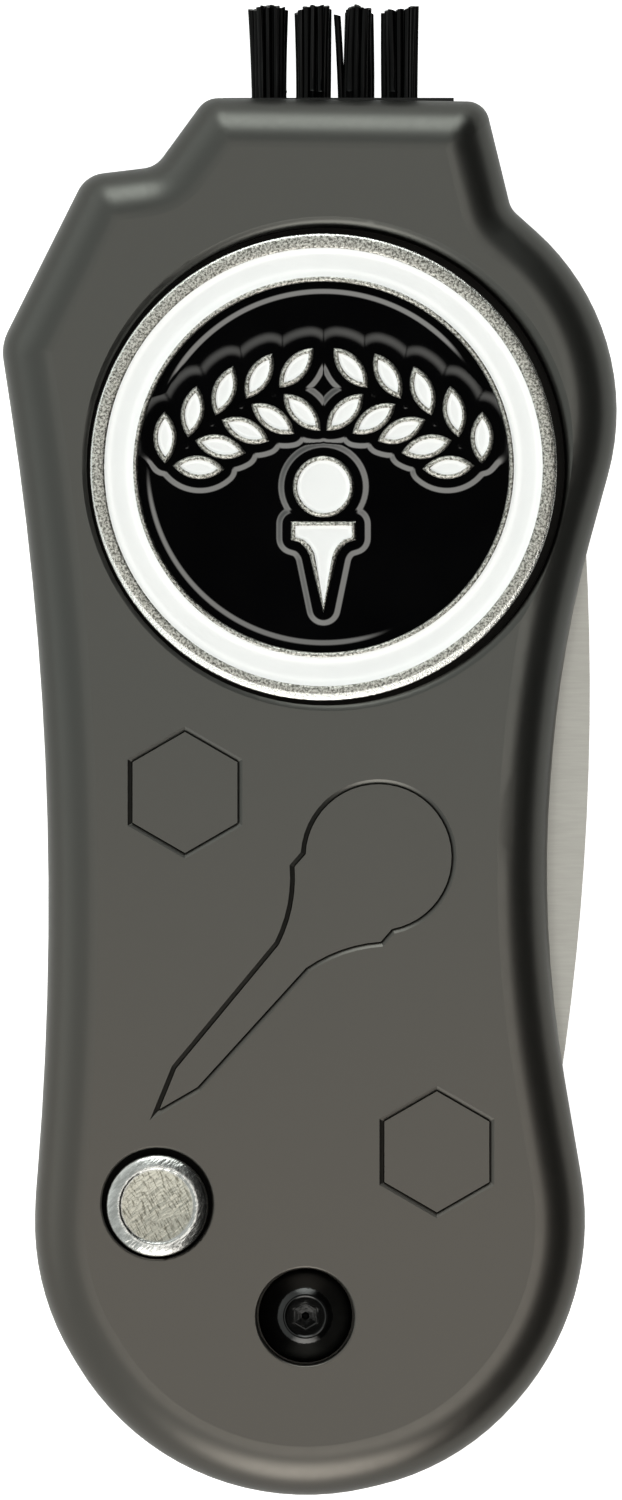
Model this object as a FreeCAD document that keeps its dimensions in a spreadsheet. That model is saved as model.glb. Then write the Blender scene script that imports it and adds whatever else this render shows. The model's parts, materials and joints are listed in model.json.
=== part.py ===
import FreeCAD, Part
import math
import os
import Sketcher
from FreeCAD import Placement, Rotation, Vector

# Folding golf tool with a groove brush. Millimetres. X runs across the handle, Y up towards the
# brush and Z out of the front face. The tool lies on its back, so the back face is at Z = 0.

SIZES = [
    ("shell_thick", 5.5, "thickness of each handle half"),
    ("edge_radius", 2.7, "rounding along the outer edge of each half"),
    ("seam_bevel", 0.15, "small bevel along the joint of the two halves"),
    ("pivot_x", -0.22, "fork pivot"),
    ("pivot_y", -30.34, "fork pivot"),
    ("barrel_radius", 2.0, "barrel nut body"),
    ("running_gap", 0.05, "clearance of parts that turn or slide on a pin"),
    ("head_radius", 2.5, "pivot screw head and barrel nut head"),
    ("head_hole_radius", 2.62, "hole round the pivot screw head"),
    ("head_seat_depth", 2.9, "depth of the screw head's seat under the front face"),
    ("head_well_round", 0.12, "rounded edge of that hole"),
    ("barrel_head_depth", 1.2, "depth of the barrel nut head's well, from the back face"),
    ("dome_radius", 2.8, "curvature of the pivot screw's dome"),
    ("dome_height", 2.45, "pivot screw head over its seat"),
    ("dish_radius", 1.1, "shallow dish in the dome"),
    ("dish_depth", 0.16, "shallow dish in the dome"),
    ("pivot_socket_flats", 1.3, "hexagon socket in the dish"),
    ("pivot_socket_depth", 1.1, "hexagon socket in the dish"),
    ("pivot_shank_radius", 1.2, "pivot screw under its head"),
    ("pivot_shank_length", 6.2, "pivot screw under its head"),
    ("slot_depth", 1.05, "fork slot cut into each half"),
    ("fork_thick", 1.6, "fork blade"),
    ("fork_lean", 9.0, "tilt of the closed fork, degrees"),
    ("fork_travel", 171.0, "opening angle of the fork, degrees"),
    ("tang_radius", 8.3, "round heel of the fork"),
    ("fork_gap", 0.3, "clearance between fork and slot walls"),
    ("fork_length", 49.4, "pivot to the prong tips"),
    ("notch_radius", 2.65, "lock notches in the heel"),
    ("washer_radius", 3.0, "pivot washers"),
    ("washer_thick", 0.2, "pivot washers"),
    ("spring_room_radius", 5.4, "pocket of the torsion spring"),
    ("spring_room_depth", 4.3, "pocket of the torsion spring, from the joint"),
    ("spring_radius", 4.2, "torsion spring, mean"),
    ("spring_wire", 0.7, "torsion spring wire"),
    ("spring_turns", 3.0, "torsion spring"),
    ("spring_pitch", 0.8, "torsion spring"),
    ("spring_leg", 2.3, "straight ends of the torsion spring"),
    ("stop_radius", 0.9, "stop pins"),
    ("stop_length", 5.2, "stop pins"),
    ("button_x", -8.14, "release button"),
    ("button_y", -24.4, "release button"),
    ("button_radius", 2.7, "release button cap"),
    ("cap_well_radius", 2.95, "hole round the cap"),
    ("cap_well_shift", 0.12, "how far that hole lies above the middle of the cap"),
    ("collar_room_radius", 2.9, "hole round the lock collar"),
    ("cap_well_round", 0.15, "rounded edge of the hole round the cap"),
    ("button_round", 0.7, "rounding of the cap"),
    ("button_top", 11.5, "height of the cap's face"),
    ("cap_height", 2.2, "release button cap"),
    ("cap_room_depth", 3.4, "well of the cap, from the front face"),
    ("stem_radius", 1.0, "stem under the cap"),
    ("stem_foot", 3.2, "height of the stem's lower end"),
    ("collar_radius", 2.5, "lock collar"),
    ("collar_thick", 1.3, "lock collar"),
    ("lock_room_depth", 4.7, "well of the lock collar, from the joint"),
    ("button_spring_wire", 0.3, "return spring wire"),
    ("button_spring_radius", 1.9, "return spring, mean"),
    ("button_spring_turns", 2.0, "return spring"),
    ("marker_x", 0.75, "ball marker"),
    ("marker_y", 15.1, "ball marker"),
    ("marker_radius", 12.5, "ball marker"),
    ("marker_thick", 1.85, "ball marker"),
    ("recess_radius", 12.8, "recess of the ball marker"),
    ("recess_depth", 1.7, "recess of the ball marker"),
    ("recess_shift_x", 0.12, "how far the recess lies to the right of the marker"),
    ("recess_shift_y", 0.05, "how far the recess lies above the marker"),
    ("lip_outer", 13.36, "radius of the curved lip round the recess, at the face"),
    ("lip_shift_x", 0.3, "how far the lip lies to the right of the coin"),
    ("lip_shift_y", 0.18, "how far the lip lies above the coin"),
    ("lip_width", 0.79, "curved lip round the recess"),
    ("lip_radius", 0.8, "curve of that lip"),
    ("rim_inner", 11.7, "inside of the marker's rim"),
    ("ring_outer", 10.2, "outside of the marker's inner ring"),
    ("field_radius", 9.7, "dark field of the marker"),
    ("enamel_depth", 0.4, "enamel recesses"),
    ("metal_edge", 0.22, "metal edge round the emblem's enamel"),
    ("magnet_radius", 4.0, "magnet under the marker"),
    ("magnet_thick", 1.5, "magnet under the marker"),
    ("ramp_depth", 0.15, "sloping ramp outside the creases"),
    ("ramp_slope", 61.0, "slope of the ramp, degrees from upright"),
    ("crease_width", 0.1, "creases in the front face"),
    ("crease_depth", 0.26, "creases in the front face"),
    ("crease_slope", 20.0, "slope of their outer side, degrees from upright"),
    ("hexagon_flats", 5.6, "hexagon across flats"),
    ("brush_x", 1.55, "middle of the brush"),
    ("brush_top", 35.08, "top of the brush block"),
    ("block_width", 9.8, "brush block"),
    ("block_foot_width", 12.4, "foot of the brush block"),
    ("block_height", 4.9, "brush block"),
    ("block_foot_height", 1.5, "foot of the brush block"),
    ("block_thick", 3.2, "brush block"),
    ("tuft_start", -2.14, "middle of the first bristle tuft"),
    ("tuft_pitch", 2.33, "spacing of the bristle tufts"),
    ("tuft_radius", 0.95, "tuft at its foot"),
    ("tuft_tip_radius", 1.07, "tuft at its tip"),
    ("tuft_length", 7.75, "tuft from its foot to its tip"),
    ("tuft_foot", 32.2, "height of the tufts' feet"),
    ("screw_radius", 0.8, "case screws"),
    ("screw_head_radius", 1.5, "case screws"),
    ("screw_head_height", 1.1, "case screws"),
    ("screw_head_gap", 0.1, "clearance round the case screw heads"),
    ("thread_depth", 3.2, "threaded holes in the front half"),
    ("screw_sink", 0.15, "how far the screw heads lie under the back face"),
    ("screw_length", 7.2, "case screws under the head"),
]

# Corners of the handle outline: X, Y and corner radius.
OUTLINE = [
    (-5.55, 34.95, 1.3), (-8.25, 31.25, 1.5), (-12.0, 30.8, 1.7), (-16.55, 21.7, 2.5),
    (-12.9, -2.1, 175.8), (-14.7, -24.0, 28.3), (-14.85, -29.0, 13.7), (-7.05, -42.0, 14.3),
    (8.05, -38.45, 13.9), (15.75, -29.7, 14.6), (12.3, -9.55, 65.3), (13.5, 5.6, 63.8),
    (18.15, 22.45, 12.9), (10.8, 29.0, 1.3), (9.4, 34.75, 1.2),
]

# Ball resting on a slanted tee, as one outline.
TEE_ANGLE = -41.0
TEE_TOP = (2.1, -7.6)
HEXAGONS = [(-6.66, -2.30), (6.81, -21.52)]
SCREWS = [(-8.2, 3.5), (-9.2, 25.4), (8.6, 23.9), (-10.4, -30.9)]
STOPS = [(-9.01, -6.67), (-9.57, -33.2)]

doc = FreeCAD.newDocument("ClubGrooveBrush")
sheet = doc.addObject("Spreadsheet::Sheet", "Sizes")
for row, (alias, value, note) in enumerate(SIZES, 1):
    sheet.set("A%d" % row, note)
    sheet.set("B%d" % row, str(value))
    sheet.setAlias("B%d" % row, alias)
doc.recompute()


def size(alias):
    return float(sheet.get(alias))


# ---------------------------------------------------------------- sketch helpers

def new_body(name, x="0", y="0", z="0"):
    body = doc.addObject("PartDesign::Body", name)
    body.Label = name
    body.setExpression("Placement.Base.x", x)
    body.setExpression("Placement.Base.y", y)
    body.setExpression("Placement.Base.z", z)
    return body


def new_sketch(body, name, height="0", role="XY_Plane"):
    sketch = body.newObject("Sketcher::SketchObject", name)
    plane = [f for f in body.Origin.OriginFeatures if f.Role == role][0]
    sketch.AttachmentSupport = [(plane, "")]
    sketch.MapMode = "FlatFace"
    sketch.setExpression("AttachmentOffset.Base.z", height)
    return sketch


def add_circle(sketch, radius, x="0", y="0"):
    """Circle whose radius and centre follow the given expressions."""
    circle = sketch.addGeometry(Part.Circle(Vector(0, 0, 0), Vector(0, 0, 1), 1), False)
    for kind, between, expression in (
        ("Radius", (circle,), radius),
        ("DistanceX", (-1, 1, circle, 3), x),
        ("DistanceY", (-1, 1, circle, 3), y),
    ):
        constraint = sketch.addConstraint(Sketcher.Constraint(kind, *between, 1))
        sketch.setExpression("Constraints[%d]" % constraint, expression)


def pad(body, name, sketch, length, reverse=False):
    feature = body.newObject("PartDesign::Pad", name)
    feature.Profile = sketch
    feature.setExpression("Length", length)
    feature.Reversed = reverse
    sketch.Visibility = False
    doc.recompute()
    return feature


def pocket(body, name, sketch, depth, reverse=False, taper=None):
    before = body.Shape.Volume
    feature = body.newObject("PartDesign::Pocket", name)
    feature.Profile = sketch
    feature.setExpression("Length", depth)
    feature.Reversed = reverse
    if taper:
        feature.setExpression("TaperAngle", taper)
    sketch.Visibility = False
    doc.recompute()
    if body.Shape.Volume > before - 1e-4:
        raise RuntimeError(name + " cuts nothing")
    return feature


def fillet(body, name, radius, wanted):
    base = body.Tip
    names = ["Edge%d" % (i + 1) for i, edge in enumerate(base.Shape.Edges) if wanted(edge)]
    feature = body.newObject("PartDesign::Fillet", name)
    feature.Base = (base, names)
    feature.setExpression("Radius", radius)
    doc.recompute()
    if "Invalid" in feature.State:
        raise RuntimeError(name + ": " + feature.getStatusString())
    return feature


def chamfer(body, name, width, wanted):
    base = body.Tip
    names = ["Edge%d" % (i + 1) for i, edge in enumerate(base.Shape.Edges) if wanted(edge)]
    feature = body.newObject("PartDesign::Chamfer", name)
    feature.Base = (base, names)
    feature.setExpression("Size", width)
    doc.recompute()
    return feature


def at_height(z):
    return lambda edge: abs(edge.BoundBox.ZMin - z) < 1e-4 and abs(edge.BoundBox.ZMax - z) < 1e-4


def ring_at(x, y, radius, z):
    def wanted(edge):
        box = edge.BoundBox
        flat = abs(box.ZMin - z) < 1e-3 and abs(box.ZMax - z) < 1e-3
        centred = (box.Center - Vector(x, y, z)).Length < 1e-3
        return flat and centred and abs(box.XLength - 2 * radius) < 1e-3
    return wanted


def rounded(corners):
    """Closed outline of straight lines and tangent corner arcs."""
    spans = []
    for i, (x, y, radius) in enumerate(corners):
        corner = Vector(x, y, 0)
        before = corners[i - 1]
        after = corners[(i + 1) % len(corners)]
        back = (Vector(before[0], before[1], 0) - corner).normalize()
        on = (Vector(after[0], after[1], 0) - corner).normalize()
        half = back.getAngle(on) / 2
        run = radius / math.tan(half)
        centre = corner + (back + on).normalize() * (radius / math.sin(half))
        middle = centre - (back + on).normalize() * radius
        spans.append((corner + back * run, middle, corner + on * run))
    shape = []
    for i, (start, middle, end) in enumerate(spans):
        shape.append(Part.Arc(start, middle, end))
        following = spans[(i + 1) % len(spans)][0]
        if (following - end).Length > 1e-6:
            shape.append(Part.LineSegment(end, following))
    return shape


def hexagon(x, y, flats):
    corner = flats / math.sqrt(3)
    points = []
    for i in range(6):
        turn = math.radians(60 * i + 30)
        points.append(Vector(x + corner * math.cos(turn), y + corner * math.sin(turn), 0))
    return [Part.LineSegment(points[i], points[(i + 1) % 6]) for i in range(6)]


def tee():
    """Golf ball on a tee, leaning to the right."""
    ball = 3.9
    cup = 3.05
    neck = 0.95
    reach = math.sqrt(ball ** 2 - cup ** 2)
    lean = Rotation(Vector(0, 0, 1), TEE_ANGLE)
    base = Vector(TEE_TOP[0], TEE_TOP[1], 0)

    def at(x, y):
        return base + lean.multVec(Vector(x, y, 0))

    return [
        Part.Arc(at(cup, 0), at(0, reach + ball), at(-cup, 0)),
        Part.LineSegment(at(-cup, 0), at(-cup, -0.9)),
        Part.Arc(at(-cup, -0.9), at(-1.75, -2.6), at(-neck, -4.6)),
        Part.LineSegment(at(-neck, -4.6), at(-neck + 0.2, -13.2)),
        Part.LineSegment(at(-neck + 0.2, -13.2), at(0, -15.4)),
        Part.LineSegment(at(0, -15.4), at(neck - 0.2, -13.2)),
        Part.LineSegment(at(neck - 0.2, -13.2), at(neck, -4.6)),
        Part.Arc(at(neck, -4.6), at(1.75, -2.6), at(cup, -0.9)),
        Part.LineSegment(at(cup, -0.9), at(cup, 0)),
    ]


# ---------------------------------------------------------------- handle

def slot_outline():
    """Room swept by the fork from closed to open, with clearance."""
    gap = size("fork_gap")
    lean = math.radians(size("fork_lean"))
    pivot = Vector(size("pivot_x"), size("pivot_y"), 0)
    along = Vector(math.sin(lean), math.cos(lean), 0)
    across = Vector(math.cos(lean), -math.sin(lean), 0)
    heel = size("tang_radius") + gap
    reach = size("fork_length") + 1.6

    def closed(w, s):
        return pivot + across * w + along * s

    def blade(s):
        return -(fork_half_width(s) + gap)

    tip = 48.0
    left_tip = closed(blade(tip), tip)
    rise = math.sqrt(reach ** 2 - (left_tip - pivot).dot(across) ** 2)
    top = closed((left_tip - pivot).dot(across), rise)
    side = Vector(30, 0, 0)
    side.y = pivot.y + math.sqrt(reach ** 2 - (side.x - pivot.x) ** 2)
    middle = (top - pivot + (side - pivot)).normalize() * reach + pivot
    flare = closed(blade(14.0), 14.0)
    root = closed(-heel, 6.5)
    heel_start = closed(-heel, 0)
    heel_end = pivot + Vector(-heel, 0, 0)
    heel_middle = pivot + ((heel_start - pivot) + (heel_end - pivot)).normalize() * heel
    stop = pivot + Vector(-heel, -6.5, 0)
    mouth = pivot + Vector(blade(14.0), -14.0, 0)
    corner = mouth + Vector(0, -10, 0)
    far = Vector(side.x, corner.y, 0)
    return [
        Part.Arc(heel_start, heel_middle, heel_end),
        Part.LineSegment(heel_end, stop),
        Part.LineSegment(stop, mouth),
        Part.LineSegment(mouth, corner),
        Part.LineSegment(corner, far),
        Part.LineSegment(far, side),
        Part.Arc(side, middle, top),
        Part.LineSegment(top, left_tip),
        Part.Arc(left_tip, closed(blade(31.0), 31.0), flare),
        Part.LineSegment(flare, root),
        Part.LineSegment(root, heel_start),
    ]


def brush_room(slack):
    """T-shaped outline of the brush block."""
    x = size("brush_x")
    top = size("brush_top")
    bottom = top - size("block_height") - slack
    shoulder = top - size("block_height") + size("block_foot_height") + slack
    half = size("block_width") / 2 + slack
    foot = size("block_foot_width") / 2 + slack
    top = top + 3 if slack else top
    points = [
        Vector(x - half, top, 0), Vector(x - half, shoulder, 0), Vector(x - foot, shoulder, 0),
        Vector(x - foot, bottom, 0), Vector(x + foot, bottom, 0), Vector(x + foot, shoulder, 0),
        Vector(x + half, shoulder, 0), Vector(x + half, top, 0),
    ]
    return [Part.LineSegment(points[i], points[(i + 1) % 8]) for i in range(8)]


def shell_blank(name, front):
    """Outline pad with its rounded outer edge, slot, brush room and the holes both halves share."""
    body = new_body(name, z="Sizes.shell_thick")
    outline = new_sketch(body, name + "_outline")
    outline.addGeometry(rounded(OUTLINE), False)
    pad(body, name + "_pad", outline, "Sizes.shell_thick", reverse=not front)
    outer = size("shell_thick") if front else -size("shell_thick")
    fillet(body, name + "_edge", "Sizes.edge_radius", at_height(outer))
    chamfer(body, name + "_seam", "Sizes.seam_bevel", at_height(0))
    slot = new_sketch(body, name + "_slot_outline")
    slot.addGeometry(slot_outline(), False)
    pocket(body, name + "_slot", slot, "Sizes.slot_depth", reverse=front)
    room = new_sketch(body, name + "_brush_outline")
    room.addGeometry(brush_room(0.05), False)
    pocket(body, name + "_brush_room", room, "Sizes.block_thick / 2 + 0.05", reverse=front)
    return body


def pocket_circles(body, name, height, circles, depth, reverse=False):
    sketch = new_sketch(body, name + "_circles", height)
    for radius, x, y in circles:
        add_circle(sketch, radius, x, y)
    return pocket(body, name, sketch, depth, reverse)


def crease(body, name, geometry):
    """Narrow crease with a sloping ramp outside it, round a raised shape flush with the face."""
    ramp_width = size("ramp_depth") * math.tan(math.radians(size("ramp_slope")))
    ramp = new_sketch(body, name + "_ramp_outline", "Sizes.shell_thick")
    ramp.addGeometry(outward(geometry, ramp_width), False)
    pocket(body, name + "_ramp", ramp, "Sizes.ramp_depth", taper="-Sizes.ramp_slope")
    groove = new_sketch(body, name + "_groove_outline", "Sizes.shell_thick")
    groove.addGeometry(outward(geometry, size("crease_width")), False)
    pocket(body, name + "_groove", groove, "Sizes.crease_depth", taper="-Sizes.crease_slope")
    island = new_sketch(body, name + "_outline", "Sizes.shell_thick - Sizes.crease_depth")
    island.addGeometry(geometry, False)
    pad(body, name + "_island", island, "Sizes.crease_depth")


def outward(geometry, width):
    """Outline offset outwards."""
    wire = Part.Wire(Part.__sortEdges__([g.toShape() for g in geometry]))
    loop = wire.makeOffset2D(width, 2)
    return [edge_geometry(edge) for edge in loop.Edges]


def edge_geometry(edge):
    ends = [v.Point for v in edge.Vertexes]
    if isinstance(edge.Curve, Part.Line):
        return Part.LineSegment(ends[0], ends[1])
    middle = edge.valueAt((edge.FirstParameter + edge.LastParameter) / 2)
    return Part.Arc(ends[0], middle, ends[1])


def recess_lip(body):
    """Turns a curved lip round the marker recess, wider above it and on its right."""
    sketch = new_sketch(body, "recess_lip_profile", "-Sizes.marker_y - Sizes.lip_shift_y", "XZ_Plane")
    centre = size("marker_x") + size("lip_shift_x")
    wall = centre + size("lip_outer") - size("lip_width")
    top = size("shell_thick")
    radius = size("lip_radius")
    sweep = math.asin(size("lip_width") / radius)
    proud = 0.01

    def lip(angle):
        return Vector(wall + size("lip_width") - radius * math.sin(angle),
                      top + proud - radius + radius * math.cos(angle), 0)

    above = 0.3
    corners = [lip(0), lip(0) + Vector(0, above, 0), Vector(wall - above, top + above, 0),
               Vector(wall - above, lip(sweep).y, 0), lip(sweep)]
    sketch.addGeometry([Part.LineSegment(a, b) for a, b in zip(corners, corners[1:])], False)
    sketch.addGeometry(Part.Arc(lip(sweep), lip(sweep / 2), lip(0)), False)
    sketch.addGeometry(Part.LineSegment(Vector(centre, 0, 0), Vector(centre, 1, 0)), True)
    before = body.Shape.Volume
    cut = body.newObject("PartDesign::Groove", "recess_lip")
    cut.Profile = sketch
    cut.ReferenceAxis = (sketch, ["Axis0"])
    cut.Angle = 360
    sketch.Visibility = False
    doc.recompute()
    if body.Shape.Volume > before - 0.1:
        raise RuntimeError("the recess lip is not cut")


def front_shell():
    body = shell_blank("front_shell", True)
    face = "Sizes.shell_thick"
    marker = ("Sizes.marker_x", "Sizes.marker_y")
    button = ("Sizes.button_x", "Sizes.button_y")
    pivot = ("Sizes.pivot_x", "Sizes.pivot_y")
    recess = ("Sizes.recess_radius", "Sizes.marker_x + Sizes.recess_shift_x",
              "Sizes.marker_y + Sizes.recess_shift_y")
    pocket_circles(body, "marker_recess", face, [recess], "Sizes.recess_depth")
    recess_lip(body)
    pocket_circles(body, "magnet_seat", face + " - Sizes.recess_depth",
                   [("Sizes.magnet_radius + Sizes.running_gap", *marker)], "Sizes.magnet_thick + 0.05")
    well = ("Sizes.cap_well_radius", button[0], "Sizes.button_y + Sizes.cap_well_shift")
    pocket_circles(body, "cap_well", face, [well], "Sizes.cap_room_depth")
    pocket_circles(body, "stem_hole", face, [("Sizes.stem_radius + Sizes.running_gap", *button)], face)
    pocket_circles(body, "collar_room", "0", [("Sizes.collar_room_radius", *button)],
                   "Sizes.slot_depth", reverse=True)
    pocket_circles(body, "head_well", face, [("Sizes.head_hole_radius", *pivot)], "Sizes.head_seat_depth")
    pocket_circles(body, "barrel_hole", face, [("Sizes.barrel_radius + Sizes.running_gap", *pivot)],
                   face)
    for i, (x, y) in enumerate(SCREWS, 1):
        pocket_circles(body, "screw_thread_%d" % i, "0", [("Sizes.screw_radius", str(x), str(y))],
                       "Sizes.thread_depth", reverse=True)
    for i, (x, y) in enumerate(STOPS, 1):
        pocket_circles(body, "stop_hole_%d" % i, "0", [("Sizes.stop_radius", str(x), str(y))],
                       "Sizes.stop_length / 2 + 0.05", reverse=True)
    for i, (x, y) in enumerate(HEXAGONS, 1):
        crease(body, "hexagon_%d" % i, hexagon(x, y, size("hexagon_flats")))
    crease(body, "tee", tee())
    top = size("shell_thick")
    well_y = size("button_y") + size("cap_well_shift")
    fillet(body, "cap_well_edge", "Sizes.cap_well_round",
           ring_at(size("button_x"), well_y, size("cap_well_radius"), top))
    fillet(body, "head_well_edge", "Sizes.head_well_round",
           ring_at(size("pivot_x"), size("pivot_y"), size("head_hole_radius"), top))
    return body


def back_shell():
    body = shell_blank("back_shell", False)
    button = ("Sizes.button_x", "Sizes.button_y")
    pivot = ("Sizes.pivot_x", "Sizes.pivot_y")
    back = "-Sizes.shell_thick"
    pocket_circles(body, "lock_room", "0", [("Sizes.collar_room_radius", *button)],
                   "Sizes.lock_room_depth")
    pocket_circles(body, "spring_room", "-Sizes.slot_depth",
                   [("Sizes.spring_room_radius", *pivot), ("Sizes.washer_radius", *pivot)],
                   "Sizes.spring_room_depth - Sizes.slot_depth")
    pocket_circles(body, "barrel_hole_back", "0",
                   [("Sizes.barrel_radius + Sizes.running_gap", *pivot)], "Sizes.shell_thick")
    pocket_circles(body, "barrel_head_well", back, [("Sizes.head_hole_radius", *pivot)],
                   "Sizes.barrel_head_depth", reverse=True)
    for i, (x, y) in enumerate(SCREWS, 1):
        pocket_circles(body, "screw_hole_%d" % i, "0",
                       [("Sizes.screw_radius + Sizes.running_gap", str(x), str(y))],
                       "Sizes.shell_thick")
        pocket_circles(body, "screw_well_%d" % i, back,
                       [("Sizes.screw_head_radius + Sizes.screw_head_gap", str(x), str(y))],
                       "Sizes.screw_head_height + Sizes.screw_sink", reverse=True)
    for i, (x, y) in enumerate(STOPS, 1):
        pocket_circles(body, "stop_seat_%d" % i, "0", [("Sizes.stop_radius", str(x), str(y))],
                       "Sizes.stop_length / 2 + 0.05")
    return body


# ---------------------------------------------------------------- fork and pivot

def fork_half_width(s):
    """Half width of the fork at a distance s from the pivot: both edges are arcs of 140 mm."""
    return math.sqrt(140.0 ** 2 - (s - 13.62) ** 2) - 128.42


def fork_outline():
    heel = size("tang_radius")
    tip = 48.2
    inner = 4.85
    gap = 4.55
    root = 26.0
    edge = fork_half_width(tip)
    wide = fork_half_width(14.0)
    prong = (edge + inner) / 2
    shape = [Part.Arc(Vector(heel, 0, 0), Vector(0, -heel, 0), Vector(-heel, 0, 0))]
    for side in (-1, 1):
        shape += [
            Part.LineSegment(Vector(side * heel, 0, 0), Vector(side * heel, 6.5, 0)),
            Part.LineSegment(Vector(side * heel, 6.5, 0), Vector(side * wide, 14, 0)),
            Part.Arc(Vector(side * wide, 14, 0), Vector(side * fork_half_width(31.0), 31, 0),
                     Vector(side * edge, tip, 0)),
            Part.Arc(Vector(side * edge, tip, 0), Vector(side * prong, size("fork_length"), 0),
                     Vector(side * inner, tip, 0)),
            Part.LineSegment(Vector(side * inner, tip, 0), Vector(side * gap, root, 0)),
        ]
    shape.append(Part.Arc(Vector(-gap, root, 0), Vector(0, root - gap, 0), Vector(gap, root, 0)))
    return shape


def divot_fork():
    body = new_body("divot_fork", "Sizes.pivot_x", "Sizes.pivot_y",
                    "Sizes.shell_thick - Sizes.fork_thick / 2")
    body.Placement.Rotation = Rotation(Vector(0, 0, 1), -size("fork_lean"))
    body.setExpression("Placement.Rotation.Angle", "-Sizes.fork_lean")
    outline = new_sketch(body, "fork_outline")
    outline.addGeometry(fork_outline(), False)
    pad(body, "fork_blade", outline, "Sizes.fork_thick")
    pocket_circles(body, "fork_bore", "Sizes.fork_thick",
                   [("Sizes.barrel_radius + Sizes.running_gap", "0", "0")], "Sizes.fork_thick")
    offset = Vector(size("button_x") - size("pivot_x"), size("button_y") - size("pivot_y"), 0)
    closed = size("fork_lean")
    for name, turn in (("closed_notch", closed), ("open_notch", closed + size("fork_travel"))):
        centre = Rotation(Vector(0, 0, 1), turn).multVec(offset)
        pocket_circles(body, name, "Sizes.fork_thick",
                       [("Sizes.notch_radius", str(centre.x), str(centre.y))], "Sizes.fork_thick")
    return body


def turned(name, x, y, z, profile):
    """Round piece made by turning a profile of (radius, height) points."""
    body = new_body(name, x, y, z)
    sketch = new_sketch(body, name + "_profile", role="XZ_Plane")
    points = [Vector(r, h, 0) for r, h in profile]
    count = len(points)
    lines = [Part.LineSegment(points[i], points[(i + 1) % count]) for i in range(count)]
    sketch.addGeometry(lines, False)
    feature = body.newObject("PartDesign::Revolution", name + "_turn")
    feature.Profile = sketch
    feature.ReferenceAxis = (sketch, ["V_Axis"])
    feature.Angle = 360
    sketch.Visibility = False
    doc.recompute()
    return body


def pivot_screw():
    """Domed head with a socket in a shallow dish, threaded into the barrel nut."""
    head = size("head_radius")
    shank = size("pivot_shank_radius")
    end = -size("pivot_shank_length")
    crown = size("dome_height")
    dish = size("dish_radius")
    dish_floor = crown - size("dish_depth")

    def dome(radius):
        drop = math.sqrt(size("dome_radius") ** 2 - dish ** 2)
        return Vector(radius, crown - drop + math.sqrt(size("dome_radius") ** 2 - radius ** 2), 0)

    body = new_body("pivot_screw", "Sizes.pivot_x", "Sizes.pivot_y",
                    "2 * Sizes.shell_thick - Sizes.head_seat_depth")
    sketch = new_sketch(body, "pivot_screw_profile", role="XZ_Plane")
    corners = [dome(dish), Vector(dish - 0.1, dish_floor, 0), Vector(0, dish_floor, 0), Vector(0, end, 0),
               Vector(shank, end, 0), Vector(shank, 0, 0), Vector(head, 0, 0), dome(head)]
    sketch.addGeometry([Part.LineSegment(a, b) for a, b in zip(corners, corners[1:])], False)
    sketch.addGeometry(Part.Arc(dome(head), dome((head + dish) / 2), dome(dish)), False)
    feature = body.newObject("PartDesign::Revolution", "pivot_screw_turn")
    feature.Profile = sketch
    feature.ReferenceAxis = (sketch, ["V_Axis"])
    feature.Angle = 360
    doc.recompute()
    socket = new_sketch(body, "pivot_screw_socket_outline", "Sizes.dome_height - Sizes.dish_depth")
    socket.addGeometry(hexagon(0, 0, size("pivot_socket_flats")), False)
    pocket(body, "pivot_screw_socket", socket, "Sizes.pivot_socket_depth")
    return body


def barrel_nut():
    """Threaded barrel with a slotted head just under the back face."""
    head = size("head_radius")
    barrel = size("barrel_radius")
    thread = size("pivot_shank_radius")
    shoulder = size("barrel_head_depth")
    face = size("screw_sink")
    bevel = 0.25
    floor = 1.5
    top = 2 * size("shell_thick") - size("head_seat_depth")
    body = turned("barrel_nut", "Sizes.pivot_x", "Sizes.pivot_y", "0", [
        (0, face), (head - bevel, face), (head, face + bevel), (head, shoulder), (barrel, shoulder),
        (barrel, top), (thread, top), (thread, floor), (0, floor),
    ])
    notch = new_sketch(body, "barrel_nut_notch_outline", "Sizes.screw_sink")
    corners = [Vector(-1.6, -0.4, 0), Vector(1.6, -0.4, 0), Vector(1.6, 0.4, 0), Vector(-1.6, 0.4, 0)]
    notch.addGeometry([Part.LineSegment(corners[i], corners[(i + 1) % 4]) for i in range(4)], False)
    pocket(body, "barrel_nut_notch", notch, "0.6", reverse=True)
    return body


def washer(name, height):
    body = new_body(name, "Sizes.pivot_x", "Sizes.pivot_y", height)
    sketch = new_sketch(body, name + "_outline")
    add_circle(sketch, "Sizes.washer_radius")
    add_circle(sketch, "Sizes.barrel_radius + Sizes.running_gap")
    pad(body, name + "_pad", sketch, "Sizes.washer_thick")
    return body


def torsion_spring():
    """Coils round the pivot boss, with a straight leg at each end."""
    floor = "Sizes.shell_thick - Sizes.spring_room_depth + 0.1 + Sizes.spring_wire / 2"
    body = new_body("torsion_spring", "Sizes.pivot_x", "Sizes.pivot_y", floor)
    wire = new_sketch(body, "torsion_wire", role="XZ_Plane")
    add_circle(wire, "Sizes.spring_wire / 2", "Sizes.spring_radius", "0")
    coil = body.newObject("PartDesign::AdditiveHelix", "torsion_coil")
    coil.Profile = wire
    coil.ReferenceAxis = (wire, ["V_Axis"])
    coil.Mode = "pitch-turns-angle"
    coil.setExpression("Pitch", "Sizes.spring_pitch")
    coil.setExpression("Turns", "Sizes.spring_turns")
    doc.recompute()
    pad(body, "torsion_leg_low", wire, "Sizes.spring_leg")
    upper = new_sketch(body, "torsion_wire_upper", role="XZ_Plane")
    add_circle(upper, "Sizes.spring_wire / 2", "Sizes.spring_radius",
               "Sizes.spring_pitch * Sizes.spring_turns")
    pad(body, "torsion_leg_high", upper, "Sizes.spring_leg", reverse=True)
    return body


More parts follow.
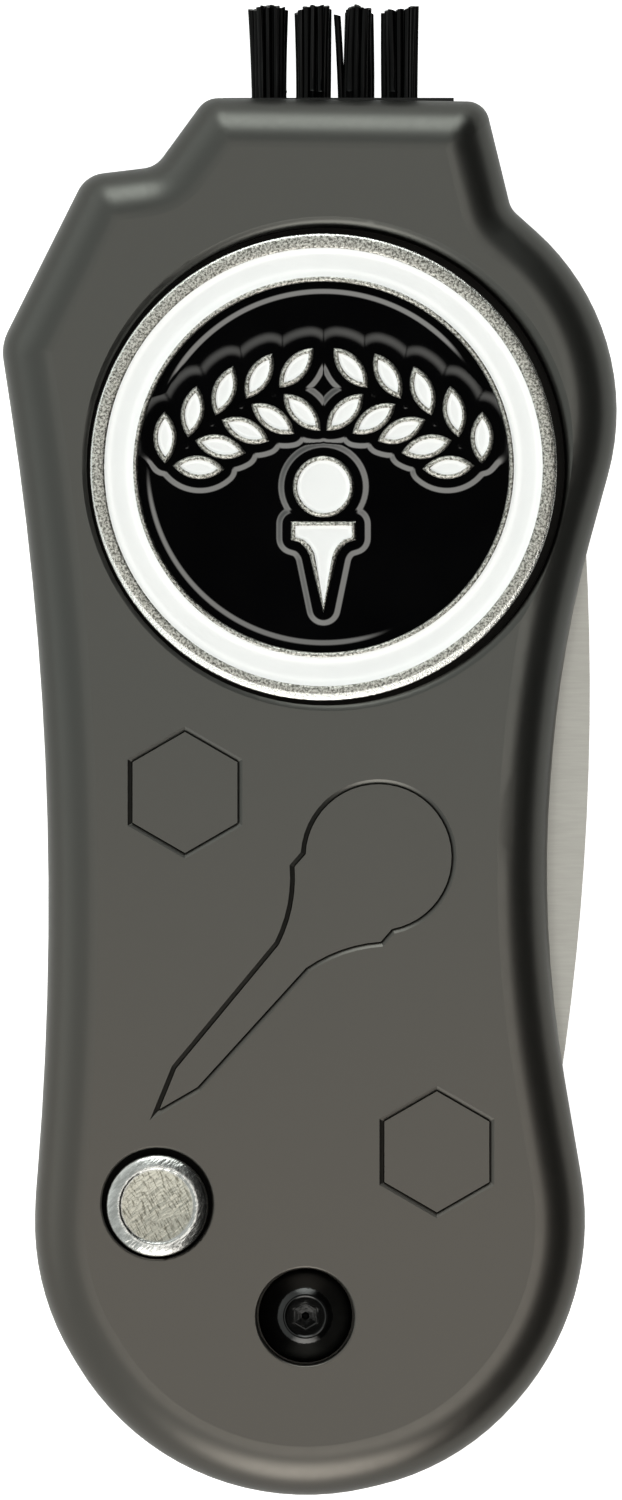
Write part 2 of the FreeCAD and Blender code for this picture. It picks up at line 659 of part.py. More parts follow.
def round_pins(name, places, radius, length, height):
    """Plain pins in one node, one solid each."""
    pins = []
    for i, (x, y) in enumerate(places, 1):
        pin = doc.addObject("Part::Cylinder", "%s_%d" % (name, i))
        pin.setExpression("Radius", radius)
        pin.setExpression("Height", length)
        pin.Placement = Placement(Vector(x, y, 0), Rotation())
        pin.setExpression("Placement.Base.z", height)
        pins.append(pin)
    node = doc.addObject("Part::Compound", name)
    node.Label = name
    node.Links = pins
    return node


# ---------------------------------------------------------------- release button

def lock_button():
    """Cap with a rounded shoulder on a thin stem."""
    body = new_body("lock_button", "Sizes.button_x", "Sizes.button_y", "Sizes.stem_foot")
    stem = new_sketch(body, "stem_outline")
    add_circle(stem, "Sizes.stem_radius")
    pad(body, "stem", stem, "Sizes.button_top - Sizes.stem_foot - Sizes.cap_height")
    cap = new_sketch(body, "cap_outline", "Sizes.button_top - Sizes.stem_foot - Sizes.cap_height")
    add_circle(cap, "Sizes.button_radius")
    pad(body, "cap", cap, "Sizes.cap_height")
    top = size("button_top") - size("stem_foot")
    fillet(body, "cap_shoulder", "Sizes.button_round", at_height(top))
    return body


def lock_collar():
    body = new_body("lock_collar", "Sizes.button_x", "Sizes.button_y", "Sizes.stem_foot")
    sketch = new_sketch(body, "collar_outline")
    add_circle(sketch, "Sizes.collar_radius")
    add_circle(sketch, "Sizes.stem_radius")
    pad(body, "collar", sketch, "Sizes.collar_thick")
    return body


def button_spring():
    """Return spring between the lock collar and the floor of its well."""
    floor = "Sizes.shell_thick - Sizes.lock_room_depth + Sizes.button_spring_wire / 2"
    body = new_body("button_spring", "Sizes.button_x", "Sizes.button_y", floor)
    wire = new_sketch(body, "button_wire", role="XZ_Plane")
    add_circle(wire, "Sizes.button_spring_wire / 2", "Sizes.button_spring_radius", "0")
    coil = body.newObject("PartDesign::AdditiveHelix", "button_coil")
    coil.Profile = wire
    coil.ReferenceAxis = (wire, ["V_Axis"])
    coil.Mode = "pitch-turns-angle"
    room = "(Sizes.stem_foot - Sizes.shell_thick + Sizes.lock_room_depth - Sizes.button_spring_wire)"
    coil.setExpression("Pitch", room + " / Sizes.button_spring_turns")
    coil.setExpression("Turns", "Sizes.button_spring_turns")
    doc.recompute()
    return body


# ---------------------------------------------------------------- ball marker

COIN_FOOT = "2 * Sizes.shell_thick - Sizes.recess_depth + 0.05"


def leaf(x, y, angle, grow):
    """Pointed leaf of two arcs."""
    half = 1.0 + 1.6 * grow
    bulge = 0.38 + grow
    turn = Rotation(Vector(0, 0, 1), angle)
    base = Vector(x, y, 0)
    stalk = base - turn.multVec(Vector(half, 0, 0))
    tip = base + turn.multVec(Vector(half, 0, 0))
    aside = turn.multVec(Vector(0, bulge, 0))
    return [Part.Arc(stalk, base + aside, tip), Part.Arc(tip, base - aside, stalk)]


def laurel(grow):
    """Two branches of leaf pairs that meet at the top of an arch."""
    leaves = []
    for side in (-1, 1):
        for i in range(5):
            turn = 7.4 + 10.3 * i
            heading = 180 - turn if side > 0 else turn
            for radius, spread in ((11.3, -42), (8.9, 52)):
                x = side * radius * math.sin(math.radians(turn))
                y = radius * math.cos(math.radians(turn)) - 5.9
                leaves.append(leaf(x, y, heading + side * spread, grow))
    return leaves


def ball_and_tee(grow):
    """Small ball over a tee, below the laurel."""
    cup = -3.15 + grow
    wide = 1.5 + grow
    rim = cup - 0.6 - 1.6 * grow
    waist = 0.42 + grow
    foot = -7.4 - 1.6 * grow
    outline = [
        Part.LineSegment(Vector(-wide, cup, 0), Vector(wide, cup, 0)),
        Part.LineSegment(Vector(wide, cup, 0), Vector(wide, rim, 0)),
        Part.Arc(Vector(wide, rim, 0), Vector(waist + 0.3, rim - 0.45, 0), Vector(waist, rim - 1.2, 0)),
        Part.LineSegment(Vector(waist, rim - 1.2, 0), Vector(0, foot, 0)),
        Part.LineSegment(Vector(0, foot, 0), Vector(-waist, rim - 1.2, 0)),
        Part.Arc(Vector(-waist, rim - 1.2, 0), Vector(-waist - 0.3, rim - 0.45, 0),
                 Vector(-wide, rim, 0)),
        Part.LineSegment(Vector(-wide, rim, 0), Vector(-wide, cup, 0)),
    ]
    return [[Part.Circle(Vector(0, -1.05, 0), Vector(0, 0, 1), 1.4 + grow)], outline]


def emblem(sketch, grow):
    """Emblem outlines, widened by the metal edge round each of them."""
    for loop in laurel(grow) + ball_and_tee(grow):
        sketch.addGeometry(loop, False)


def field_geometry(sketch):
    add_circle(sketch, "Sizes.field_radius")
    emblem(sketch, size("metal_edge"))


def marker_coin():
    body = new_body("marker_coin", "Sizes.marker_x", "Sizes.marker_y", COIN_FOOT)
    disc = new_sketch(body, "coin_outline")
    add_circle(disc, "Sizes.marker_radius")
    pad(body, "coin_disc", disc, "Sizes.marker_thick")
    pocket_circles(body, "ring_groove", "Sizes.marker_thick",
                   [("Sizes.rim_inner", "0", "0"), ("Sizes.ring_outer", "0", "0")], "Sizes.enamel_depth")
    field = new_sketch(body, "field_outline", "Sizes.marker_thick")
    field_geometry(field)
    pocket(body, "field", field, "Sizes.enamel_depth")
    fill = new_sketch(body, "emblem_wells", "Sizes.marker_thick")
    emblem(fill, 0)
    pocket(body, "emblem_well", fill, "Sizes.enamel_depth")
    top = size("marker_thick")
    fillet(body, "coin_rim", "0.25", ring_at(0, 0, size("marker_radius"), top))
    return body


def enamel(name, draw, drop):
    """Enamel lying in a recess of the marker, its face just under the metal."""
    floor = COIN_FOOT + " + Sizes.marker_thick - Sizes.enamel_depth"
    body = new_body(name, "Sizes.marker_x", "Sizes.marker_y", floor)
    sketch = new_sketch(body, name + "_outline")
    draw(sketch)
    pad(body, name + "_pad", sketch, "Sizes.enamel_depth - " + drop)
    return body


def draw_ring(sketch):
    add_circle(sketch, "Sizes.rim_inner")
    add_circle(sketch, "Sizes.ring_outer")


def draw_emblem(sketch):
    emblem(sketch, 0)


def marker_magnet():
    node = doc.addObject("Part::Cylinder", "marker_magnet")
    node.Label = "marker_magnet"
    node.setExpression("Radius", "Sizes.magnet_radius")
    node.setExpression("Height", "Sizes.magnet_thick")
    node.setExpression("Placement.Base.x", "Sizes.marker_x")
    node.setExpression("Placement.Base.y", "Sizes.marker_y")
    node.setExpression("Placement.Base.z",
                       "2 * Sizes.shell_thick - Sizes.recess_depth - Sizes.magnet_thick - 0.03")
    return node


# ---------------------------------------------------------------- brush

def tuft_x(i):
    return size("tuft_start") + i * size("tuft_pitch")


def brush_block():
    body = new_body("brush_block", z="Sizes.shell_thick - Sizes.block_thick / 2")
    outline = new_sketch(body, "block_outline")
    outline.addGeometry(brush_room(0), False)
    pad(body, "block", outline, "Sizes.block_thick")
    holes = new_sketch(body, "tuft_holes", "-Sizes.brush_top", "XZ_Plane")
    for i in range(4):
        add_circle(holes, "Sizes.tuft_radius + 0.05", str(tuft_x(i)), "Sizes.block_thick / 2")
    pocket(body, "tuft_hole", holes, "Sizes.brush_top - Sizes.tuft_foot + 0.5", reverse=True)
    return body


def bristle_tuft(i):
    name = "bristle_tuft_%d" % (i + 1)
    node = doc.addObject("Part::Cone", name)
    node.Label = name
    node.setExpression("Radius1", "Sizes.tuft_radius")
    node.setExpression("Radius2", "Sizes.tuft_tip_radius")
    node.setExpression("Height", "Sizes.tuft_length")
    node.Placement = Placement(Vector(tuft_x(i), 0, 0), Rotation(Vector(1, 0, 0), -90))
    node.setExpression("Placement.Base.y", "Sizes.tuft_foot")
    node.setExpression("Placement.Base.z", "Sizes.shell_thick")
    return node


def tuft_staples():
    """Flat anchors under the feet of the tufts."""
    staples = []
    for i in range(4):
        staple = doc.addObject("Part::Box", "tuft_staple_%d" % (i + 1))
        staple.Length = 1.7
        staple.Width = 0.4
        staple.Height = 0.5
        staple.Placement = Placement(Vector(tuft_x(i) - 0.85, 0, 0), Rotation())
        staple.setExpression("Placement.Base.y", "Sizes.tuft_foot - 0.42")
        staple.setExpression("Placement.Base.z", "Sizes.shell_thick - 0.25")
        staples.append(staple)
    node = doc.addObject("Part::Compound", "tuft_staples")
    node.Label = "tuft_staples"
    node.Links = staples
    return node


def case_screws():
    """Small socket screws from the back, one solid each."""
    screws = []
    for i, (x, y) in enumerate(SCREWS, 1):
        head = doc.addObject("Part::Cylinder", "screw_head_%d" % i)
        head.setExpression("Radius", "Sizes.screw_head_radius")
        head.setExpression("Height", "Sizes.screw_head_height")
        head.Placement = Placement(Vector(x, y, 0), Rotation())
        head.setExpression("Placement.Base.z", "Sizes.screw_sink")
        shank = doc.addObject("Part::Cylinder", "screw_shank_%d" % i)
        shank.setExpression("Radius", "Sizes.screw_radius")
        shank.setExpression("Height", "Sizes.screw_length")
        shank.Placement = Placement(Vector(x, y, 0), Rotation())
        shank.setExpression("Placement.Base.z", "Sizes.screw_sink + Sizes.screw_head_height")
        socket = doc.addObject("Part::Prism", "screw_socket_%d" % i)
        socket.Polygon = 6
        socket.Circumradius = 0.75
        socket.Height = 0.8
        socket.Placement = Placement(Vector(x, y, 0), Rotation())
        socket.setExpression("Placement.Base.z", "Sizes.screw_sink")
        whole = doc.addObject("Part::Fuse", "screw_blank_%d" % i)
        whole.Base = head
        whole.Tool = shank
        screw = doc.addObject("Part::Cut", "screw_%d" % i)
        screw.Base = whole
        screw.Tool = socket
        screws.append(screw)
    node = doc.addObject("Part::Compound", "case_screws")
    node.Label = "case_screws"
    node.Links = screws
    return node


# ---------------------------------------------------------------- assembly

nodes = [
    front_shell(),
    back_shell(),
    divot_fork(),
    pivot_screw(),
    barrel_nut(),
    washer("back_washer", "Sizes.shell_thick - Sizes.fork_thick / 2 - Sizes.washer_thick - 0.025"),
    washer("front_washer", "Sizes.shell_thick + Sizes.fork_thick / 2 + 0.025"),
    torsion_spring(),
    round_pins("stop_pins", STOPS, "Sizes.stop_radius", "Sizes.stop_length",
               "Sizes.shell_thick - Sizes.stop_length / 2"),
    lock_button(),
    lock_collar(),
    button_spring(),
    marker_coin(),
    enamel("marker_white_ring", draw_ring, "0.03"),
    enamel("marker_dark_field", field_geometry, "0.06"),
    enamel("marker_emblem_fill", draw_emblem, "0.05"),
    marker_magnet(),
    brush_block(),
    tuft_staples(),
    case_screws(),
]
for i in range(4):
    nodes.append(bristle_tuft(i))
doc.recompute()

for item in doc.Objects:
    if "Invalid" in item.State or "Error" in item.State:
        raise RuntimeError(item.Name + " did not recompute")
os.makedirs("parts", exist_ok=True)
for node in nodes:
    if node.Shape.isNull() or not node.Shape.isValid():
        raise RuntimeError(node.Label + " is not a valid shape")
    node.Shape.exportStep("parts/" + node.Label + ".step")
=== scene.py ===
import json
import math
import random

import bmesh
import bpy
import numpy as np
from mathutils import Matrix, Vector

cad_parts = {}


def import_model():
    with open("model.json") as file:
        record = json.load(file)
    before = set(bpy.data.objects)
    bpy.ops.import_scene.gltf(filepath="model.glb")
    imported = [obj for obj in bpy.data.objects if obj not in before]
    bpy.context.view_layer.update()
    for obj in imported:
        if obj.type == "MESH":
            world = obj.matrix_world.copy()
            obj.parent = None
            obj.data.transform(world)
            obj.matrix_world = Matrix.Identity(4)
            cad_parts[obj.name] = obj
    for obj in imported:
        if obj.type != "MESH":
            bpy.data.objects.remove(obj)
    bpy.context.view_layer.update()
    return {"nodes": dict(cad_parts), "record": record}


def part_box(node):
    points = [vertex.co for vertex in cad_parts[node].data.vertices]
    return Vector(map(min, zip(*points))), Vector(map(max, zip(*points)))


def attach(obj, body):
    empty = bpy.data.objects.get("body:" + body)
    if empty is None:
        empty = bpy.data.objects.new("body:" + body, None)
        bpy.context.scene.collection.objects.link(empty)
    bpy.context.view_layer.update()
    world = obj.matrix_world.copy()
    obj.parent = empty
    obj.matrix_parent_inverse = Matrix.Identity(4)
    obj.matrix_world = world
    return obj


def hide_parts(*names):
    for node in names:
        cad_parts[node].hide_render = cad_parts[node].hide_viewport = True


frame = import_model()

MM = 0.001
nodes = frame["nodes"]


# ------------------------------------------------------------------ places in the frame

def middle(node):
    low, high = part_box(node)
    return (low + high) / 2


def top_and_foot(node):
    """Middle of a node's top, and the level of its foot about that in millimetres."""
    low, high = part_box(node)
    return Vector(((low.x + high.x) / 2, (low.y + high.y) / 2, high.z)), (low.z - high.z) / MM


# ------------------------------------------------------------------ materials

class Paint:
    """A node material with a Principled shader and helpers to feed it.

    Where nodes feed the colour or the roughness, the values given here are only a plain fallback.
    """

    def __init__(self, name, base, metallic=0.0, roughness=0.5, **sockets):
        self.material = bpy.data.materials.new(name)
        self.material.use_nodes = True
        self.tree = self.material.node_tree
        self.shader = self.tree.nodes["Principled BSDF"]
        self.set("Base Color", (*base, 1.0))
        self.set("Metallic", metallic)
        self.set("Roughness", roughness)
        for key, value in sockets.items():
            self.set(key.replace("_", " "), value)
        self.coords = self.node("ShaderNodeTexCoord").outputs["Object"]

    def set(self, key, value):
        self.shader.inputs[key].default_value = value

    def node(self, kind, **props):
        item = self.tree.nodes.new(kind)
        for key, value in props.items():
            setattr(item, key, value)
        return item

    def link(self, out, target):
        self.tree.links.new(out, target)

    def mapped(self, scale, turn=0, centre=(0, 0, 0)):
        """Coordinates about a centre, turned about the upright axis and then scaled."""
        item = self.node("ShaderNodeMapping", vector_type="TEXTURE")
        item.inputs["Scale"].default_value = [1 / s if s else 0 for s in scale]
        item.inputs["Rotation"].default_value = (0, 0, math.radians(turn))
        item.inputs["Location"].default_value = centre
        self.link(self.coords, item.inputs["Vector"])
        return item.outputs["Vector"]

    def noise(self, scale, detail=3.0, rough=0.5, vector=None):
        item = self.node("ShaderNodeTexNoise")
        item.inputs["Scale"].default_value = scale
        item.inputs["Detail"].default_value = detail
        item.inputs["Roughness"].default_value = rough
        self.link(vector or self.coords, item.inputs["Vector"])
        return item.outputs["Fac"]

    def ranged(self, value, low, high, from_low=0.3, from_high=0.7):
        """Carries a value from one range to another; most of a noise lies between 0.3 and 0.7."""
        item = self.node("ShaderNodeMapRange")
        limits = {"From Min": from_low, "From Max": from_high, "To Min": low, "To Max": high}
        for key, number in limits.items():
            item.inputs[key].default_value = number
        self.link(value, item.inputs["Value"])
        return item.outputs["Result"]

    def mix(self, value, dark, light):
        item = self.node("ShaderNodeMix", data_type="RGBA")
        for socket, colour in (("A", dark), ("B", light)):
            if isinstance(colour, tuple):
                item.inputs[socket].default_value = (*colour, 1.0)
            else:
                self.link(colour, item.inputs[socket])
        self.link(value, item.inputs["Factor"])
        return item.outputs["Result"]

    def tint(self, value, dark, light):
        self.link(self.mix(value, dark, light), self.shader.inputs["Base Color"])

    def along(self, axis):
        """Coordinate along one axis, in metres."""
        item = self.node("ShaderNodeSeparateXYZ")
        self.link(self.coords, item.inputs[0])
        return item.outputs[axis]

    def reckon(self, operation, first, second):
        item = self.node("ShaderNodeMath", operation=operation)
        self.link(first, item.inputs[0])
        self.link(second, item.inputs[1])
        return item.outputs[0]

    def radius(self, centre):
        """Distance from an upright axis, in metres."""
        level = self.mapped((1, 1, 0), centre=centre)
        item = self.node("ShaderNodeVectorMath", operation="LENGTH")
        self.link(level, item.inputs[0])
        return item.outputs["Value"]

    def bump(self, value, height, strength=1.0, normal=None):
        item = self.node("ShaderNodeBump")
        item.inputs["Strength"].default_value = strength
        item.inputs["Distance"].default_value = height
        self.link(value, item.inputs["Height"])
        if normal:
            self.link(normal, item.inputs["Normal"])
        self.link(item.outputs["Normal"], self.shader.inputs["Normal"])
        return item.outputs["Normal"]


# Stretch of the handle, from its lower end up, over which the plating turns cooler and darker: painted
# light, lightest at the lower end.
PAINTED_LIGHT_STRETCH = (-24 * MM, 4 * MM)
# Wells of the front that get painted shade, near black down inside them: the node in each, and how far
# round it the well reaches.
SHADED_WELLS = (("marker_coin", 13.05 * MM), ("lock_button", 3.15 * MM))
# Depths under the handle's face where the painted shade is full and where it begins.
SHADE_FULL_DEPTH = 0.22 * MM
SHADE_START_DEPTH = 0.09 * MM
WELL_BLUR = 0.05 * MM


def gunmetal():
    """Satin plating, with painted light that makes it slightly warmer and lighter towards the lower end,
    and painted shade, near black, down in the wells.
    """
    p = Paint("gunmetal", (0.078, 0.0765, 0.068), metallic=0.93, roughness=0.29)
    lower = p.ranged(p.along("Y"), 1, 0, *PAINTED_LIGHT_STRETCH)
    # Painted light: the plating's colour is lighter and warmer towards the lower end.
    colour = p.mix(lower, (0.0758, 0.0758, 0.0708), (0.088, 0.082, 0.0742))
    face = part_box("front_shell")[1].z
    deep = p.ranged(p.along("Z"), 1, 0, face - SHADE_FULL_DEPTH, face - SHADE_START_DEPTH)
    for node, reach in SHADED_WELLS:
        near = p.ranged(p.radius(middle(node)), 1, 0, reach - WELL_BLUR, reach + WELL_BLUR)
        # Painted shade: near black down in the wells round the marker and the button.
        colour = p.mix(p.reckon("MULTIPLY", near, deep), colour, (0.006, 0.0055, 0.005))
    p.link(colour, p.shader.inputs["Base Color"])
    p.link(p.ranged(p.noise(2600, 1, 0.5), 0.33, 0.36), p.shader.inputs["Roughness"])
    return p.material


def plain_steel(name, base, roughness):
    p = Paint(name, base, metallic=1.0, roughness=roughness)
    grain = p.noise(900, 4, 0.6)
    p.tint(p.ranged(grain, 0, 1), tuple(c * 0.88 for c in base), base)
    p.link(p.ranged(grain, roughness * 0.8, roughness * 1.25), p.shader.inputs["Roughness"])
    return p.material


def brushed_steel():
    """Fine brush lines across the tool, with broader bands of more and less gloss."""
    p = Paint("brushed_steel", (0.62, 0.61, 0.55), metallic=1.0, roughness=0.3)
    lines = p.noise(1.0, 3, 0.5, p.mapped((700, 9000, 9000)))
    broad = p.noise(1.0, 3, 0.5, p.mapped((150, 1500, 1500)))
    p.tint(p.ranged(lines, 0, 1, 0.2, 0.8), (0.335, 0.33, 0.31), (0.385, 0.378, 0.357))
    p.link(p.ranged(broad, 0.3, 0.38), p.shader.inputs["Roughness"])
    p.bump(lines, 0.003 * MM, 0.2)
    return p.material


# Radii between which the button's scratched face, painted darker partly as painted shade, turns into its
# shoulder, and the coin's pitted metal into its polished edge.
# That edge begins further in or out with the level below the coin's middle, so that its bright band is
# wider at the lower side: painted highlight.
DULL_SHADED_FACE = (1.86 * MM, 1.98 * MM)
POLISHED_EDGE = (12.16 * MM, 12.22 * MM)
EDGE_SHIFT = (-0.06 * MM, 0.2 * MM)
EDGE_SHIFT_LEVELS = (-10 * MM, -2 * MM)


def button_steel():
    """Scratched face, painted darker partly as painted shade; brighter polished shoulder with coarse marks.
    """
    p = Paint("button_steel", (0.5, 0.49, 0.45), metallic=1.0, roughness=0.28)
    face = p.ranged(p.radius(middle("lock_button")), 1, 0, *DULL_SHADED_FACE)
    scratch = p.noise(1.0, 3, 0.65, p.mapped((11000, 1900, 3000), 27))
    marks = p.noise(1.0, 2, 0.6, p.mapped((1500, 3600, 2500), 40))
    # Painted shade in part: the face is set darker than the shoulder, standing for the dark it reflects
    # from overhead, besides its scratches.
    dull_and_shaded = p.mix(p.ranged(scratch, 0, 1, 0.36, 0.5), (0.15, 0.144, 0.118), (0.36, 0.352, 0.308))
    bright = p.mix(p.ranged(marks, 0, 1, 0.38, 0.6), (0.36, 0.36, 0.35), (0.48, 0.48, 0.47))
    p.link(p.mix(face, bright, dull_and_shaded), p.shader.inputs["Base Color"])
    p.link(p.ranged(face, 0.26, 0.3, 0, 1), p.shader.inputs["Roughness"])
    p.bump(scratch, 0.01 * MM, 0.3, p.bump(marks, 0.07 * MM, 0.7))
    return p.material


def nickel():
    """Pitted plating, smooth and bright on the coin's outer edge; that bright band reaching further in
    towards the lower side is painted highlight.
    """
    p = Paint("nickel", (0.6, 0.59, 0.55), metallic=1.0, roughness=0.2)
    centre = middle("marker_coin")
    levels = [centre.y + level for level in EDGE_SHIFT_LEVELS]
    # Painted highlight: the bright edge band is shifted to reach further in on the coin's lower side.
    shift = p.ranged(p.along("Y"), *EDGE_SHIFT, *levels)
    polish_and_highlight = p.ranged(p.reckon("SUBTRACT", p.radius(centre), shift), 0, 1, *POLISHED_EDGE)
    speck = p.noise(7500, 3, 0.7)
    pitted = p.mix(p.ranged(speck, 0, 1, 0.4, 0.6), (0.1, 0.097, 0.085), (0.6, 0.59, 0.55))
    p.link(p.mix(polish_and_highlight, pitted, (0.78, 0.775, 0.75)), p.shader.inputs["Base Color"])
    p.link(p.ranged(polish_and_highlight, 0.3, 0.1, 0, 1), p.shader.inputs["Roughness"])
    p.bump(speck, 0.06 * MM, 0.8)
    return p.material


def white_enamel():
    p = Paint("white_enamel", (0.86, 0.875, 0.88), roughness=0.12, Coat_Weight=0.6, Coat_Roughness=0.04)
    grain = p.noise(500, 2, 0.5)
    p.tint(p.ranged(grain, 0, 1), (0.838, 0.842, 0.852), (0.865, 0.867, 0.876))
    return p.material


def dark_enamel():
    p = Paint("dark_enamel", (0.001, 0.001, 0.0012), roughness=0.05, Specular_IOR_Level=1.0)
    grain = p.noise(260, 2, 0.5)
    p.tint(p.ranged(grain, 0, 1), (0.001, 0.001, 0.0012), (0.0016, 0.0016, 0.0018))
    p.bump(grain, 0.01 * MM, 0.25)
    return p.material


def gloss_black():
    p = Paint("gloss_black", (0.001, 0.001, 0.001), roughness=0.1)
    grain = p.noise(1900, 3, 0.6)
    p.tint(p.ranged(grain, 0, 1), (0.001, 0.001, 0.001), (0.002, 0.002, 0.002))
    p.bump(grain, 0.03 * MM, 0.3)
    return p.material


def black_plastic():
    p = Paint("black_plastic", (0.004, 0.004, 0.004), roughness=0.5, Specular_IOR_Level=0.35)
    grain = p.noise(2500, 3, 0.6)
    p.tint(p.ranged(grain, 0, 1), (0.003, 0.003, 0.003), (0.006, 0.006, 0.006))
    p.bump(grain, 0.01 * MM, 0.4)
    return p.material


def nylon():
    """Nearly black and more or less glossy, with lighter streaks along each strand's length painted in as
    highlights.
    """
    p = Paint("nylon", (0.001, 0.001, 0.001), roughness=0.2, Specular_IOR_Level=0.1)
    fine = p.noise(1.0, 2, 0.5, p.mapped((8000, 120, 8000)))
    strand_wide = p.noise(1.0, 1, 0.5, p.mapped((2600, 60, 2600)))
    # Painted highlight: thin lighter streaks along the strands.
    p.tint(p.ranged(fine, 0, 1, 0.55, 0.68), (0.0004, 0.0004, 0.0005), (0.008, 0.008, 0.0082))
    p.link(p.ranged(strand_wide, 0.05, 0.55, 0.42, 0.55), p.shader.inputs["Roughness"])
    return p.material


def bronze():
    p = Paint("bronze", (0.5, 0.32, 0.16), metallic=1.0, roughness=0.35)
    grain = p.noise(1500, 3, 0.6)
    p.tint(p.ranged(grain, 0, 1), (0.42, 0.26, 0.12), (0.56, 0.37, 0.2))
    return p.material


MATERIALS = {
    "gunmetal": gunmetal(),
    "stainless": brushed_steel(),
    "button_steel": button_steel(),
    "spring_steel": plain_steel("spring_steel", (0.42, 0.42, 0.43), 0.32),
    "black_steel": gloss_black(),
    "bronze": bronze(),
    "nickel": nickel(),
    "white_enamel": white_enamel(),
    "dark_enamel": dark_enamel(),
    "magnet": plain_steel("magnet", (0.6, 0.6, 0.6), 0.25),
    "black_plastic": black_plastic(),
    "nylon": nylon(),
}


def paint(obj, slot):
    obj.data.materials.clear()
    obj.data.materials.append(MATERIALS[slot])


for entry in frame["record"]["subparts"]:
    paint(nodes[entry["node"]], entry["material_slot"])


# ------------------------------------------------------------------ mesh helpers

def mesh_object(name, verts, faces, slot, body, replaced, sharp=35):
    """Solid piece that rides on a body and stands for CAD nodes."""
    mesh = bpy.data.meshes.new(name)
    mesh.from_pydata([tuple(v) for v in verts], [], faces)
    solid = bmesh.new()
    solid.from_mesh(mesh)
    bmesh.ops.recalc_face_normals(solid, faces=solid.faces)
    solid.to_mesh(mesh)
    solid.free()
    mesh.shade_smooth()
    mesh.set_sharp_from_angle(angle=math.radians(sharp))
    obj = bpy.data.objects.new(name, mesh)
    bpy.context.scene.collection.objects.link(obj)
    obj.data.materials.append(MATERIALS[slot])
    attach(obj, body)
    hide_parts(*replaced)
    return obj


def lathe(profile, centre, verts, faces, around):
    """Adds a solid turned from (radius, height) points, in millimetres about the centre.

    It has as many sides as around says, and a point on the axis becomes a single corner.
    """
    rings = []
    for radius, height in profile:
        if radius == 0:
            rings.append([len(verts)] * around)
            verts.append(centre + Vector((0, 0, height * MM)))
            continue
        rings.append(list(range(len(verts), len(verts) + around)))
        for k in range(around):
            turn = 2 * math.pi * k / around
            out = Vector((math.cos(turn) * radius, math.sin(turn) * radius, height))
            verts.append(centre + out * MM)
    for i, ring in enumerate(rings):
        following = rings[(i + 1) % len(rings)]
        for k in range(around):
            after = (k + 1) % around
            corners = [ring[k], ring[after], following[after], following[k]]
            face = [c for j, c in enumerate(corners) if c != corners[j - 1]]
            if len(face) > 2:
                faces.append(face)


def bridge(loops, centre, verts, faces, closed=True):
    """Joins equal loops of (x, y, z) points, in millimetres; a closed one ends where it began."""
    count = len(loops[0])
    first = len(verts)
    for loop in loops:
        verts.extend(centre + Vector(point) * MM for point in loop)
    for i in range(len(loops) if closed else len(loops) - 1):
        here = first + i * count
        following = first + (i + 1) % len(loops) * count
        for k in range(count):
            after = (k + 1) % count
            faces.append((here + k, here + after, following + after, following + k))
    if not closed:
        faces.append(tuple(first + k for k in range(count)))
        faces.append(tuple(first + (len(loops) - 1) * count + k for k in range(count)))


# ------------------------------------------------------------------ ball marker

# Radii and heights in millimetres about the middle of the coin's top. The coin's face runs from its side
# over the polished edge, the groove for the ring and the bead inside it to the floor under the emblem.
COIN_AROUND = 360
COIN_BACK_CHAMFER = (0.35, 0.3)
COIN_FACE = [
    (12.5, -0.3), (12.49, -0.16), (12.46, -0.09), (12.4, -0.05), (12.3, -0.025), (12.18, -0.008),
    (12.08, 0), (11.84, 0), (11.76, -0.025), (11.7, -0.08), (11.7, -0.42),
    (10.2, -0.42), (10.2, -0.08), (10.17, -0.03), (10.12, 0), (10.04, 0), (9.98, -0.03), (9.93, -0.1),
    (9.88, -0.42), (0, -0.42),
]
RING_FACE = [(11.72, -0.4), (11.72, -0.04), (11.6, -0.075), (11.4, -0.1), (11.1, -0.11), (10.8, -0.11),
             (10.5, -0.1), (10.3, -0.075), (10.18, -0.04), (10.18, -0.4)]
# Metal edge of each emblem shape: how far outside the shape, and how high. The last point of its crest says
# where the dark enamel begins to be seen.
EDGE = [(0, -0.42), (0, -0.08), (0.02, -0.02), (0.06, 0), (0.11, 0), (0.17, -0.03), (0.22, -0.09),
        (0.26, -0.18), (0.28, -0.42)]
METAL_FOOT = EDGE[0][1]
METAL_CREST = EDGE[4][0]
# White enamel between those metal edges, in the same terms.
FILL = [(0.02, -0.4), (0.02, -0.05), (-0.07, -0.08), (-0.2, -0.09)]
# Laurel: how far its centre lies under the coin's, its pairs of leaves with their first bearing and the
# turn between them, and for its two rows of leaves the radius and the tilt.
LAUREL_DROP = 5.9
LEAF_PAIRS = 5
LEAF_FIRST = 7.4
LEAF_STEP = 10.3
LEAF_ROWS = ((11.3, -42), (8.9, 52))
LEAF_HALF = 1.0
LEAF_BULGE = 0.38
# Ball on a tee: half widths, and levels about the coin's middle.
BALL_RADIUS = 1.4
BALL_LEVEL = -1.05
TEE_TOP = -3.15
TEE_HALF = 1.5
TEE_RIM = 0.6
TEE_POINT = -7.4
STEM_HALF = 0.42
# Neck of the tee: how far outside its stem and how far under its rim.
TEE_NECK = ((0.62, 0.14), (0.3, 0.45), (0.08, 0.83), (0, 1.2))
# How much further a point moves than a side when an outline is widened.
POINTED = 1.6
# Dark enamel: its lower level, and the step up from there.
FIELD_RADIUS = 9.91
FIELD_LOW = -0.19
FIELD_STEP = 0.038
FIELD_DETAIL = 250
# It is high up to the first distance from the metal and low from the second one on. That second distance
# grows by SPREAD_ABOVE over the laurel, between the radii LAUREL_TOP about the laurel's centre.
EMBLEM_STEP = (0.53, 0.98)
SPREAD_ABOVE = 0.6
LAUREL_TOP = (11.0, 12.0)
